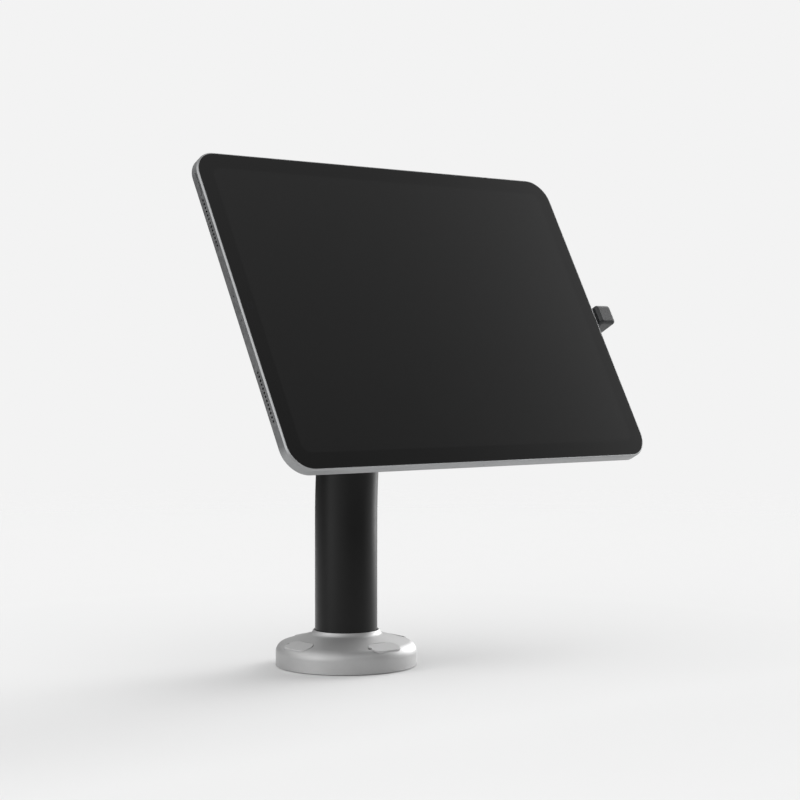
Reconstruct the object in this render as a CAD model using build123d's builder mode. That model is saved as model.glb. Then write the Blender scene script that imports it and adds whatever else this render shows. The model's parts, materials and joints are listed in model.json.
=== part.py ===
from build123d import *
import math
import os

# Counter-mounted customer display: a touch tablet on a bent round pole that swivels in a
# screwed-down base.  Millimetres.  Origin on the pole's axis at the counter's surface,
# +Z up, the screen faces -Y and +X is to the viewer's right.

os.makedirs("parts", exist_ok=True)

# ------------------------------------------------------------------ driving dimensions
running_gap = 0.05          # radial clearance of a shaft in its bush
seat_gap = 0.05             # radial clearance of a piece seated in its own pocket
thread_gap = 0.02           # radial clearance of a screw in its tapped hole
face_gap = 0.05             # clearance between two faces that rub or lie on each other
screw_gap = 0.1             # radial clearance of a screw in its through hole
past = 1.0                  # how far a cut runs beyond the face it leaves by
clear_cut = 5.0             # height of a cut that only has to reach open air

# Base
cover_radius = 39.5
cover_wall = 2.0
cover_foot = 0.4            # height of the cover's rim above the counter
cover_corner_height = 12.11  # where the side wall and the cone would meet
cover_shoulder = 5.77       # radius that rounds that corner
cone_slope = 15.8           # degrees
collar_foot_radius = 19.4
collar_top_radius = 18.5
collar_bore = 17.9
collar_top = 19.9
collar_blend = 2.6          # fillet between the cone and the lip round the pole
gasket_thickness = 1.0
gasket_radius = 37.0
gasket_cable_hole = 10.0
plate_radius = 37.2
plate_top = 6.0
plate_cable_hole = 9.5
counter_hole_radius = 2.75
counter_hole_circle = 65.5  # diameter
duct_radius = 9.0           # the cable's way up through the spigot

# Screw caps
cap_length = 20.0
cap_width = 10.0
cap_circle_radius = 33.4
cap_gap = 0.15
cap_thickness = 1.85
cap_skirt_depth = 4.2
cap_skirt_wall = 1.0
cap_edge_round = 0.25
cap_angles = {"front": -90, "right": 0, "back": 90, "left": 180}

# Pole
pole_radius = 17.5
pole_wall = 2.0
pole_foot = 9.65
straight_top = 80.0
gentle_bend_radius = 420.0
gentle_bend_angle = 5.0

# Swivel
spigot_radius = 13.0
spigot_top = 64.0
spigot_flange_radius = 24.0
spigot_flange_top = 9.0
spigot_chamfer = 0.6
bush_outer = pole_radius - pole_wall - seat_gap
bush_inner = spigot_radius + running_gap
stop_circle_radius = 14.25
swivel_stop_radius = 1.0

# Tablet
tablet_width = 248.6
tablet_height = 179.5
tablet_thickness = 5.9
tablet_corner = 13.8
tablet_tilt = 28.28         # degrees that the screen leans back from upright
screen_forward = 72.86      # screen centre ahead of the pole's axis
screen_height = 197.09      # screen centre above the counter
rim_width = 0.9              # visible metal rim round the glass
rim_chamfer = 0.75
rim_chamfer_depth = 0.55
rim_below_glass = 0.05
glass_thickness = 1.0
side_wall = 2.0
back_wall = 0.9

# Head, measured backwards from the tablet's back
pad_thickness = 0.8
receiver_radius = 46.0
receiver_back = 5.8
hub_radius = 11.0
hub_flange_radius = 20.0
hub_flange_gap = 0.6
hub_flange_back = 8.3
hub_end = 20.5
housing_radius = 38.0
housing_front = 6.5
housing_web_front = 9.0
housing_web_back = 13.0
neck_flange_radius = 30.0
neck_flange_thickness = 4.0

# Port arm
plug_gap = 2.2              # tablet's side to the plug housing
plug_width = 12.3
plug_half_height = 5.95
plug_proud = 1.1            # plug housing ahead of the glass
plug_back = 6.1             # plug housing behind the tablet's back
arm_travel = 10.0

# ------------------------------------------------------------------ derived places
lean = 90 - tablet_tilt     # degrees from upright to the tablet's own axis
sin_lean = math.sin(math.radians(lean))
cos_lean = math.cos(math.radians(lean))
facing = Vector(0, -sin_lean, cos_lean)
screen_centre = Vector(0, -screen_forward, screen_height)
back_centre = screen_centre - facing * tablet_thickness

TABLET = Plane(origin=screen_centre, x_dir=(1, 0, 0), z_dir=facing)
HEAD = Plane(origin=back_centre, x_dir=(1, 0, 0), z_dir=-facing)
SIDE = Plane(origin=(0, 0, 0), x_dir=(0, -1, 0), z_dir=(-1, 0, 0))
middle_of_tablet = TABLET.offset(-tablet_thickness / 2).origin
WALL_SIDE = Plane(origin=middle_of_tablet, x_dir=TABLET.y_dir, z_dir=(1, 0, 0))
WALL_TOP = Plane(origin=middle_of_tablet, x_dir=(1, 0, 0), z_dir=TABLET.y_dir)

# The pole's tight bend ends square to the tablet's back, on the tablet's centre line.
# Its radius and its distance behind the tablet are the two unknowns of two equations.
gentle = math.radians(gentle_bend_angle)
forward_left = -back_centre.Y - gentle_bend_radius * (1 - math.cos(gentle))
height_left = back_centre.Z - straight_top - gentle_bend_radius * math.sin(gentle)
bend_forward = math.cos(gentle) - cos_lean
bend_up = sin_lean - math.sin(gentle)
determinant = bend_forward * cos_lean - bend_up * sin_lean
tight_bend_radius = (forward_left * cos_lean - height_left * sin_lean) / determinant
neck_end = (bend_forward * height_left - bend_up * forward_left) / determinant

inner_half_width = tablet_width / 2 - side_wall
inner_half_height = tablet_height / 2 - side_wall
cavity_floor = -(tablet_thickness - back_wall)
plug_inner_face = tablet_width / 2 + plug_gap


def save(piece, label):
    """Name a finished piece and write its STEP file."""
    piece.part.label = label
    export_step(piece.part, f"parts/{label}.step")


def cone_height(radius):
    """Height of the cover's cone at a radius."""
    return cover_corner_height + (cover_radius - radius) * math.tan(math.radians(cone_slope))


def cap_plane(angle):
    """Plane on the cover's cone at the middle of the screw cap at this angle."""
    turn = math.radians(angle)
    slope = math.radians(cone_slope)
    outward = Vector(math.cos(turn), math.sin(turn), 0)
    centre = outward * cap_circle_radius + Vector(0, 0, cone_height(cap_circle_radius))
    normal = outward * math.sin(slope) + Vector(0, 0, math.cos(slope))
    return Plane(origin=centre, x_dir=(-math.sin(turn), math.cos(turn), 0), z_dir=normal)


def cap_outline(plane, depth, margin):
    """Sketch of a screw cap's outline, grown by a margin, below the cone."""
    with BuildSketch(plane.offset(-depth)) as outline:
        SlotOverall(cap_length + 2 * margin, cap_width + 2 * margin)
    return outline.sketch


def ring(inner, outer, bottom, top, plane=Plane.XY):
    """Flat ring between two heights on a plane's axis."""
    with BuildPart() as piece:
        with BuildSketch(plane.offset(bottom)):
            Circle(outer)
            Circle(inner, mode=Mode.SUBTRACT)
        extrude(amount=top - bottom)
    return piece.part


def ring_sector(inner, outer, start, sweep_angle):
    """Flat sketch of part of a ring, from a start angle round by a sweep angle."""
    with BuildSketch() as sector:
        with BuildLine():
            outer_arc = CenterArc((0, 0), outer, start, sweep_angle)
            inner_arc = CenterArc((0, 0), inner, start, sweep_angle)
            Line(outer_arc @ 0, inner_arc @ 0)
            Line(outer_arc @ 1, inner_arc @ 1)
        make_face()
    return sector.sketch


def snap_ring(inner, outer, bottom, top, plane):
    """Ring with a gap, as sprung into a shaft's groove."""
    gap = 5.0
    with BuildPart() as piece:
        add(ring(inner, outer, bottom, top, plane))
        with BuildSketch(plane.offset(bottom)):
            with Locations((outer, 0)):
                Rectangle(2 * outer, gap)
        extrude(amount=top - bottom, mode=Mode.SUBTRACT)
    return piece.part


def countersunk_screw(head_radius, shank_radius, length, socket_radius):
    """Flush-headed socket screw: head's face at the origin, shank along -Z."""
    rim = 0.3
    cone_end = rim + head_radius - shank_radius
    socket_depth = 0.6 * cone_end
    with BuildPart() as piece:
        with BuildSketch(Plane.XZ):
            with BuildLine():
                Polyline((0, 0), (head_radius, 0), (head_radius, -rim), (shank_radius, -cone_end),
                         (shank_radius, -length), (0, -length), close=True)
            make_face()
        revolve(axis=Axis.Z)
        with BuildSketch(Plane.XY):
            RegularPolygon(socket_radius, 6)
        extrude(amount=-socket_depth, mode=Mode.SUBTRACT)
    return piece.part


def button_head_screw(head_radius, head_height, shank_radius, length, socket_radius):
    """Domed socket screw: head's underside at the origin, shank along -Z."""
    dome = 0.6 * head_height
    socket_depth = 0.7 * head_height
    with BuildPart() as piece:
        with BuildSketch(Plane.XY):
            Circle(head_radius)
        extrude(amount=head_height)
        fillet(piece.edges().group_by(Axis.Z)[-1], dome)
        with BuildSketch(Plane.XY):
            Circle(shank_radius)
        extrude(amount=-length)
        with BuildSketch(Plane.XY.offset(head_height)):
            RegularPolygon(socket_radius, 6)
        extrude(amount=-socket_depth, mode=Mode.SUBTRACT)
    return piece.part


# ------------------------------------------------------------------ base
cover_screw_circle = 28.2
cover_screw_radius = 1.5
cover_screw_head = 2.9
cover_screw_length = 11.0
cover_screw_socket = 1.1
cover_screw_tap_depth = 6.5
cover_screw_sink = 0.4      # extra radius of the countersink, so the head lies below the face
spigot_screw_circle = 20.3
spigot_screw_radius = 2.0
spigot_screw_head = 3.5
spigot_screw_length = 7.4
spigot_screw_socket = 1.4
spigot_screw_sink = 0.3

# Rubber sheet between the plate and the counter.
with BuildPart() as base_gasket:
    with BuildSketch():
        Circle(gasket_radius)
        Circle(gasket_cable_hole, mode=Mode.SUBTRACT)
        with PolarLocations(counter_hole_circle / 2, 4):
            Circle(counter_hole_radius, mode=Mode.SUBTRACT)
    extrude(amount=gasket_thickness)
save(base_gasket, "base_gasket")

# Steel plate that the counter's bolts hold down.
with BuildPart() as base_plate:
    with BuildSketch(Plane.XY.offset(gasket_thickness)):
        Circle(plate_radius)
        Circle(plate_cable_hole, mode=Mode.SUBTRACT)
        with PolarLocations(counter_hole_circle / 2, 4):
            Circle(counter_hole_radius, mode=Mode.SUBTRACT)
    extrude(amount=plate_top - gasket_thickness)
    with BuildSketch(Plane.XY.offset(plate_top)):
        with PolarLocations(spigot_screw_circle, 4):
            Circle(spigot_screw_radius + thread_gap)
    extrude(amount=-(plate_top - gasket_thickness), mode=Mode.SUBTRACT)
    with Locations(Plane.XY.offset(gasket_thickness).rotated((180, 0, 0))):
        with PolarLocations(cover_screw_circle, 4, start_angle=45):
            CounterSinkHole(cover_screw_radius + screw_gap, cover_screw_head + cover_screw_sink,
                            counter_sink_angle=90)
save(base_plate, "base_plate")

# Painted cover: side wall, rounded shoulder, shallow cone and a lip round the pole.
cone_drop = cover_wall / math.cos(math.radians(cone_slope))
inner_radius = cover_radius - cover_wall
with BuildPart() as cover_envelope:
    with BuildSketch(Plane.XZ) as envelope_profile:
        with BuildLine():
            Polyline((0, cover_foot), (cover_radius, cover_foot), (cover_radius, cover_corner_height),
                     (collar_foot_radius, cone_height(collar_foot_radius)),
                     (collar_top_radius, collar_top), (0, collar_top), close=True)
        make_face()
        shoulder = (cover_radius, cover_corner_height)
        collar_foot = (collar_foot_radius, cone_height(collar_foot_radius))
        fillet(envelope_profile.vertices().sort_by_distance(shoulder)[0], cover_shoulder)
        fillet(envelope_profile.vertices().sort_by_distance(collar_foot)[0], collar_blend)
    revolve(axis=Axis.Z)

with BuildPart() as cover_hollow:
    with BuildSketch(Plane.XZ) as hollow_profile:
        with BuildLine():
            Polyline((0, 0), (inner_radius, 0), (inner_radius, cone_height(inner_radius) - cone_drop),
                     (collar_bore, cone_height(collar_bore) - cone_drop),
                     (collar_bore, collar_top + past), (0, collar_top + past), close=True)
        make_face()
        inner_shoulder = (inner_radius, cone_height(inner_radius) - cone_drop)
        fillet(hollow_profile.vertices().sort_by_distance(inner_shoulder)[0], cover_shoulder - cover_wall)
    revolve(axis=Axis.Z)

cap_ledge_depth = cap_thickness + face_gap
cap_pad_depth = 3.6         # thickening of the cover under each cap
cap_pad_margin = 1.6
skirt_inset = 0.95
pry_hole_radius = 1.2
pry_hole_depth = 3.0
boss_radius = 3.5
boss_top = 14.2
with BuildPart() as base_cover:
    add(cover_envelope.part)
    add(cover_hollow.part, mode=Mode.SUBTRACT)
    with BuildSketch(Plane.XY.offset(plate_top)):
        with PolarLocations(cover_screw_circle, 4, start_angle=45):
            Circle(boss_radius)
    extrude(amount=boss_top - plate_top)
    for angle in cap_angles.values():
        extrude(cap_outline(cap_plane(angle), cap_pad_depth, cap_pad_margin),
                amount=cap_pad_depth - cover_wall / 2)
    add(cover_envelope.part, mode=Mode.INTERSECT)
    for angle in cap_angles.values():
        extrude(cap_outline(cap_plane(angle), cap_ledge_depth, cap_gap), amount=clear_cut,
                mode=Mode.SUBTRACT)
        extrude(cap_outline(cap_plane(angle), clear_cut, cap_gap - skirt_inset), amount=clear_cut,
                mode=Mode.SUBTRACT)
        with BuildSketch(cap_plane(angle).offset(-pry_hole_depth)):
            with Locations((-cap_length / 2, 0)):
                Circle(pry_hole_radius)
        extrude(amount=clear_cut, mode=Mode.SUBTRACT)
    with BuildSketch(Plane.XY.offset(plate_top)):
        with PolarLocations(cover_screw_circle, 4, start_angle=45):
            Circle(cover_screw_radius + thread_gap)
    extrude(amount=cover_screw_tap_depth, mode=Mode.SUBTRACT)
save(base_cover, "base_cover")

# Caps over the four counter bolts, each with half of a pry hole at one end.
for side, angle in cap_angles.items():
    plane = cap_plane(angle)
    with BuildPart() as screw_cap:
        extrude(cap_outline(plane, cap_thickness, 0), amount=cap_thickness)
        fillet(screw_cap.faces().sort_by_distance(plane.origin)[0].edges(), cap_edge_round)
        extrude(cap_outline(plane, cap_skirt_depth, -skirt_inset),
                amount=cap_skirt_depth - cap_thickness)
        extrude(cap_outline(plane, cap_skirt_depth, -skirt_inset - cap_skirt_wall),
                amount=cap_skirt_depth - cap_thickness, mode=Mode.SUBTRACT)
        with BuildSketch(plane.offset(-pry_hole_depth)):
            with Locations((-cap_length / 2, 0)):
                Circle(pry_hole_radius)
        extrude(amount=clear_cut, mode=Mode.SUBTRACT)
    save(screw_cap, f"screw_cap_{side}")

# Screws that hold the cover down from under the plate.
cover_screw = countersunk_screw(cover_screw_head, cover_screw_radius, cover_screw_length,
                                cover_screw_socket)
with BuildPart() as cover_screws:
    with Locations(Plane.XY.offset(gasket_thickness).rotated((180, 0, 0))):
        with PolarLocations(cover_screw_circle, 4, start_angle=45):
            add(cover_screw)
save(cover_screws, "cover_screws")

# Hollow spigot that the pole turns on.
ring_groove_depth = 0.6
ring_thickness = 1.0
friction_washer_bottom = 58.1
retaining_ring_bottom = 59.2
washer_gap = 0.1            # play left at each end of the friction washer's stack
washer_inset = 0.3
ring_inset = 0.5
stop_pin_depth = 2.8
stop_pin_length = 6.2
with BuildPart() as pole_spigot:
    with BuildSketch(Plane.XY.offset(plate_top)):
        Circle(spigot_flange_radius)
    extrude(amount=spigot_flange_top - plate_top)
    with BuildSketch(Plane.XY.offset(spigot_flange_top)):
        Circle(spigot_radius)
    extrude(amount=spigot_top - spigot_flange_top)
    chamfer(pole_spigot.edges().group_by(Axis.Z)[-1], spigot_chamfer)
    with Locations((0, 0, spigot_top)):
        Hole(duct_radius)
    add(ring(spigot_radius - ring_groove_depth, spigot_radius + past,
             retaining_ring_bottom - face_gap, retaining_ring_bottom + ring_thickness + face_gap),
        mode=Mode.SUBTRACT)
    with Locations(Plane.XY.offset(spigot_flange_top)):
        with PolarLocations(spigot_screw_circle, 4):
            CounterSinkHole(spigot_screw_radius + screw_gap, spigot_screw_head + spigot_screw_sink,
                            counter_sink_angle=90)
        with Locations((0, -stop_circle_radius)):
            Hole(swivel_stop_radius + thread_gap, depth=stop_pin_depth + face_gap)
save(pole_spigot, "pole_spigot")

spigot_screw = countersunk_screw(spigot_screw_head, spigot_screw_radius, spigot_screw_length,
                                 spigot_screw_socket)
with BuildPart() as spigot_screws:
    with Locations(Plane.XY.offset(spigot_flange_top)):
        with PolarLocations(spigot_screw_circle, 4):
            add(spigot_screw)
save(spigot_screws, "spigot_screws")

# The pole's end runs on this washer.
with BuildPart() as thrust_washer:
    add(ring(pole_radius - pole_wall + 0.1, pole_radius + 0.2, spigot_flange_top,
             pole_foot - face_gap))
save(thrust_washer, "thrust_washer")

# Pin that ends the swivel's travel.
with BuildPart() as swivel_stop_pin:
    with BuildSketch(Plane.XY.offset(spigot_flange_top - stop_pin_depth)):
        with Locations((0, -stop_circle_radius)):
            Circle(swivel_stop_radius)
    extrude(amount=stop_pin_length)
    chamfer(swivel_stop_pin.edges().group_by(Axis.Z)[-1], 0.2 * swivel_stop_radius)
save(swivel_stop_pin, "swivel_stop_pin")

with BuildPart() as swivel_friction_washer:
    add(ring(bush_inner, bush_outer - washer_inset, friction_washer_bottom,
             retaining_ring_bottom - washer_gap))
save(swivel_friction_washer, "swivel_friction_washer")

with BuildPart() as swivel_retaining_ring:
    add(snap_ring(spigot_radius - ring_groove_depth + seat_gap, bush_outer - ring_inset,
                  retaining_ring_bottom, retaining_ring_bottom + ring_thickness, Plane.XY))
save(swivel_retaining_ring, "swivel_retaining_ring")

# ------------------------------------------------------------------ pole
# Straight, then a barely bent stretch, then the tight bend up to the tablet's back.
with BuildPart() as pole_tube:
    with BuildLine(SIDE) as centre_line:
        Line((0, pole_foot), (0, straight_top))
        gentle_arc = JernArc((0, straight_top), (0, 1), gentle_bend_radius, -gentle_bend_angle)
        JernArc(gentle_arc @ 1, gentle_arc % 1, tight_bend_radius, -(lean - gentle_bend_angle))
    with BuildSketch(Plane.XY.offset(pole_foot)):
        Circle(pole_radius)
        Circle(pole_radius - pole_wall, mode=Mode.SUBTRACT)
    sweep(path=centre_line.wires()[0])
save(pole_tube, "pole_tube")

# Lower bush: the tooth on its underside meets the stop pin at each end of the swivel.
lower_bush_bottom = 13.0
lower_bush_top = 22.0
tooth_half_angle = 10.4     # degrees; leaves the swivel 165 degrees each way
upper_bush_length = 11.9
with BuildPart() as swivel_bush_lower:
    add(ring(bush_inner, bush_outer, lower_bush_bottom, lower_bush_top))
    with BuildSketch(Plane.XY.offset(pole_foot)):
        add(ring_sector(bush_inner + 0.1, bush_outer, 90 - tooth_half_angle, 2 * tooth_half_angle))
    extrude(amount=lower_bush_bottom - pole_foot)
save(swivel_bush_lower, "swivel_bush_lower")

with BuildPart() as swivel_bush_upper:
    upper_bush_top = friction_washer_bottom - washer_gap
    add(ring(bush_inner, bush_outer, upper_bush_top - upper_bush_length, upper_bush_top))
save(swivel_bush_upper, "swivel_bush_upper")

# ------------------------------------------------------------------ head on the pole
flange_screw_circle = 24.0
flange_screw_radius = 2.0
flange_screw_length = 12.0
flange_screw_head = 3.8
flange_screw_head_height = 2.4
flange_screw_socket = 1.4
flange_screw_tap_depth = 8.5
flange_pocket_gap = 0.25
flange_bore = 12.0
flange_boss_radius = 4.2
housing_back_round = 6.0
housing_front_round = 1.2
housing_rib_inner = 17.0    # hollow between the bush's boss and the outer wall
housing_rib_outer = 29.4
bush_boss_radius = 17.5
bush_wall = 1.5
housing_bore = hub_radius + running_gap + bush_wall + seat_gap
stop_pin_radius = 1.5
stop_pin_circle = 17.0
stop_groove_depth = 2.6
stop_groove_gap = 0.3
portrait_turn = 90.0
neck_flange_front = neck_end - neck_flange_thickness
bush_back = housing_web_back + 4.0

# Round flange welded to the end of the pole.
with BuildPart() as neck_flange:
    with BuildSketch(HEAD.offset(neck_flange_front)):
        Circle(neck_flange_radius)
        Circle(flange_bore, mode=Mode.SUBTRACT)
        with PolarLocations(flange_screw_circle, 4, start_angle=45):
            Circle(flange_screw_radius + screw_gap, mode=Mode.SUBTRACT)
    extrude(amount=neck_flange_thickness)
save(neck_flange, "neck_flange")

# Puck-shaped housing that carries the rotation bush.
with BuildPart() as head_housing:
    with BuildSketch(HEAD.offset(housing_front)):
        Circle(housing_radius)
    extrude(amount=neck_end - housing_front)
    far_face = head_housing.faces().sort_by_distance(HEAD.offset(neck_end).origin)[0]
    near_face = head_housing.faces().sort_by_distance(HEAD.offset(housing_front).origin)[0]
    fillet(far_face.edges(), housing_back_round)
    fillet(near_face.edges(), housing_front_round)
    with BuildSketch(HEAD.offset(housing_front)):
        Circle(hub_flange_radius + hub_flange_gap)
    extrude(amount=housing_web_front - housing_front, mode=Mode.SUBTRACT)
    add(ring(housing_rib_inner, housing_rib_outer, housing_web_back, neck_end, HEAD),
        mode=Mode.SUBTRACT)
    with BuildSketch(HEAD.offset(bush_back)):
        Circle(bush_boss_radius)
    extrude(amount=neck_end - bush_back, mode=Mode.SUBTRACT)
    with BuildSketch(HEAD.offset(housing_web_back)):
        with PolarLocations(flange_screw_circle, 4, start_angle=45):
            Circle(flange_boss_radius)
    extrude(amount=neck_flange_front - housing_web_back)
    with BuildSketch(HEAD.offset(neck_flange_front)):
        Circle(neck_flange_radius + flange_pocket_gap)
    extrude(amount=neck_flange_thickness, mode=Mode.SUBTRACT)
    with BuildSketch(HEAD.offset(housing_web_front)):
        Circle(housing_bore)
    extrude(amount=housing_web_back, mode=Mode.SUBTRACT)
    with BuildSketch(HEAD.offset(neck_flange_front)):
        with PolarLocations(flange_screw_circle, 4, start_angle=45):
            Circle(flange_screw_radius + thread_gap)
    extrude(amount=-flange_screw_tap_depth, mode=Mode.SUBTRACT)
    groove_radius = stop_pin_radius + stop_groove_gap
    groove_start = 90 - portrait_turn / 2
    with BuildSketch(HEAD.offset(housing_web_front)):
        add(ring_sector(stop_pin_circle - groove_radius, stop_pin_circle + groove_radius,
                        groove_start, portrait_turn))
        with PolarLocations(stop_pin_circle, 2, start_angle=groove_start, angular_range=portrait_turn,
                            endpoint=True):
            Circle(groove_radius)
    extrude(amount=stop_groove_depth, mode=Mode.SUBTRACT)
save(head_housing, "head_housing")

flange_screw = button_head_screw(flange_screw_head, flange_screw_head_height, flange_screw_radius,
                                 flange_screw_length, flange_screw_socket)
with BuildPart() as flange_screws:
    with Locations(HEAD.offset(neck_end)):
        with PolarLocations(flange_screw_circle, 4, start_angle=45):
            add(flange_screw)
save(flange_screws, "flange_screws")

with BuildPart() as rotation_bush:
    add(ring(hub_radius + running_gap, hub_radius + running_gap + bush_wall,
             housing_web_front + face_gap, bush_back, HEAD))
save(rotation_bush, "rotation_bush")

# ------------------------------------------------------------------ turning half of the head
hub_bore = 7.5
hub_screw_circle = 15.0
hub_screw_radius = 1.5
hub_screw_head = 2.9
hub_screw_length = 7.2
hub_screw_socket = 1.1
hub_screw_sink = 0.5
hub_washer_radius = 15.0
hub_ring_radius = 13.5
hub_friction_radius = 14.0
stop_pin_seat = 0.4         # bottom of the stop pin's hole above the hub flange's front
stop_pin_turn = 90 + portrait_turn / 2
hub_ring_front = 18.25
hub_groove_depth = 0.6
arm_half_width = 5.0
arm_front = 1.2
arm_back = 4.2
arm_start = 16.0
arm_groove_margin = 0.3
receiver_edge_round = 1.5
pad_inset = 1.5
stop_screw_place = (41.6, 2.2)
stop_screw_radius = 1.25
stop_screw_head = 2.3
stop_screw_head_height = 0.6
stop_screw_socket = 0.9
stop_screw_socket_depth = 1.0

# The hub is screwed to the receiver plate and turns in the housing's bush.
with BuildPart() as rotation_hub:
    with BuildSketch(HEAD.offset(receiver_back)):
        Circle(hub_flange_radius)
    extrude(amount=hub_flange_back - receiver_back)
    with BuildSketch(HEAD.offset(hub_flange_back)):
        Circle(hub_radius)
    extrude(amount=hub_end - hub_flange_back)
    with BuildSketch(HEAD.offset(receiver_back)):
        Circle(hub_bore)
        with PolarLocations(hub_screw_circle, 3, start_angle=60):
            Circle(hub_screw_radius + thread_gap)
    extrude(amount=hub_end - receiver_back, mode=Mode.SUBTRACT)
    add(ring(hub_radius - hub_groove_depth, hub_radius + past, hub_ring_front - face_gap,
             hub_ring_front + ring_thickness + face_gap, HEAD), mode=Mode.SUBTRACT)
    with BuildSketch(HEAD.offset(receiver_back + stop_pin_seat)):
        with PolarLocations(stop_pin_circle, 1, start_angle=stop_pin_turn):
            Circle(stop_pin_radius + thread_gap)
    extrude(amount=clear_cut, mode=Mode.SUBTRACT)
save(rotation_hub, "rotation_hub")

stop_pin_foot = receiver_back + stop_pin_seat + face_gap
with BuildPart() as rotation_stop_pin:
    with BuildSketch(HEAD.offset(stop_pin_foot)):
        with PolarLocations(stop_pin_circle, 1, start_angle=stop_pin_turn):
            Circle(stop_pin_radius)
    extrude(amount=housing_web_front + stop_groove_depth - stop_groove_gap - stop_pin_foot)
save(rotation_stop_pin, "rotation_stop_pin")

with BuildPart() as hub_friction_washer:
    add(ring(hub_radius + running_gap, hub_friction_radius, hub_flange_back + face_gap,
             housing_web_front - face_gap, HEAD))
save(hub_friction_washer, "hub_friction_washer")

with BuildPart() as hub_washer:
    add(ring(hub_radius + running_gap, hub_washer_radius, bush_back + washer_gap,
             hub_ring_front - washer_gap, HEAD))
save(hub_washer, "hub_washer")

with BuildPart() as hub_retaining_ring:
    add(snap_ring(hub_radius - hub_groove_depth + seat_gap, hub_ring_radius, hub_ring_front,
                  hub_ring_front + ring_thickness, HEAD))
save(hub_retaining_ring, "hub_retaining_ring")

# Aluminium disc on the tablet's back, grooved for the port arm.
receiver_front = Plane(origin=HEAD.offset(pad_thickness).origin, x_dir=(1, 0, 0), z_dir=facing)
with BuildPart() as receiver_plate:
    with BuildSketch(HEAD.offset(pad_thickness)):
        Circle(receiver_radius)
    extrude(amount=receiver_back - pad_thickness)
    rear_face = receiver_plate.faces().sort_by_distance(HEAD.offset(receiver_back).origin)[0]
    fillet(rear_face.edges(), receiver_edge_round)
    with BuildSketch(HEAD.offset(pad_thickness)):
        with Locations((receiver_radius / 2, 0)):
            Rectangle(receiver_radius, 2 * (arm_half_width + arm_groove_margin))
    extrude(amount=arm_back + arm_groove_margin - pad_thickness, mode=Mode.SUBTRACT)
    with BuildSketch(HEAD.offset(pad_thickness)):
        Circle(hub_bore)
        with Locations(stop_screw_place):
            Circle(stop_screw_radius + thread_gap)
    extrude(amount=receiver_back - pad_thickness, mode=Mode.SUBTRACT)
    with Locations(receiver_front):
        with PolarLocations(hub_screw_circle, 3, start_angle=60):
            CounterSinkHole(hub_screw_radius + screw_gap, hub_screw_head + hub_screw_sink,
                            counter_sink_angle=90)
save(receiver_plate, "receiver_plate")

hub_screw = countersunk_screw(hub_screw_head, hub_screw_radius, hub_screw_length, hub_screw_socket)
with BuildPart() as hub_screws:
    with Locations(receiver_front.offset(-screw_gap)):
        with PolarLocations(hub_screw_circle, 3, start_angle=60):
            add(hub_screw)
save(hub_screws, "hub_screws")

with BuildPart() as adhesive_pad:
    with BuildSketch(HEAD):
        Circle(receiver_radius - pad_inset)
        Circle(hub_bore, mode=Mode.SUBTRACT)
        with Locations((receiver_radius / 2, 0)):
            Rectangle(receiver_radius, 2 * (arm_half_width + arm_groove_margin), mode=Mode.SUBTRACT)
    extrude(amount=pad_thickness)
save(adhesive_pad, "adhesive_pad")

# Screw that keeps the arm in its groove and limits its slide.
stop_screw_tip = arm_front + 0.3
with BuildPart() as arm_stop_screw:
    with BuildSketch(HEAD.offset(stop_screw_tip)):
        with Locations(stop_screw_place):
            Circle(stop_screw_radius)
    extrude(amount=receiver_back - stop_screw_tip)
    with BuildSketch(HEAD.offset(receiver_back)):
        with Locations(stop_screw_place):
            Circle(stop_screw_head)
    extrude(amount=stop_screw_head_height)
    with BuildSketch(HEAD.offset(receiver_back + stop_screw_head_height)):
        with Locations(stop_screw_place):
            RegularPolygon(stop_screw_socket, 6)
    extrude(amount=-stop_screw_socket_depth, mode=Mode.SUBTRACT)
save(arm_stop_screw, "arm_stop_screw")

# ------------------------------------------------------------------ port arm and plug
plug_front_depth = tablet_thickness + plug_proud
plug_cover_thickness = 1.5
plug_outer_face = plug_inner_face + plug_width
plug_middle = plug_inner_face + plug_width / 2
plug_shell_length = 8.6
plug_shell_width = 8.3
plug_shell_height = 2.5
plug_shell_wall = 0.35
plug_wall = 1.6
plug_front_wall = 3.2
plug_side_round = 2.3
plug_front_round = 2.0
plug_back_round = 0.8
plug_hollow_round = 0.9
arm_edge_round = 0.5
lead_channel = (3.2, 2.0)   # width and depth
lead_channel_offset = -2.4
stop_slot_width = 2.9
stop_slot_end_gap = 0.35

# Flat bar with a channel for the lead and a slot for the stop screw.
with BuildPart() as port_arm:
    with BuildSketch(HEAD.offset(arm_front)):
        with Locations(((arm_start + plug_inner_face) / 2, 0)):
            Rectangle(plug_inner_face - arm_start, 2 * arm_half_width)
    extrude(amount=arm_back - arm_front)
    fillet(port_arm.edges().filter_by(Axis.X), arm_edge_round)
    with BuildSketch(HEAD.offset(arm_front)):
        with Locations(((arm_start + plug_inner_face) / 2, lead_channel_offset)):
            Rectangle(plug_inner_face - arm_start, lead_channel[0])
    extrude(amount=lead_channel[1], mode=Mode.SUBTRACT)
    with BuildSketch(HEAD.offset(arm_front)):
        with Locations((stop_screw_place[0] - arm_travel / 2, stop_screw_place[1])):
            SlotOverall(arm_travel + 2 * (stop_screw_radius + stop_slot_end_gap), stop_slot_width)
    extrude(amount=arm_back - arm_front, mode=Mode.SUBTRACT)
save(port_arm, "port_arm")

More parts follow.
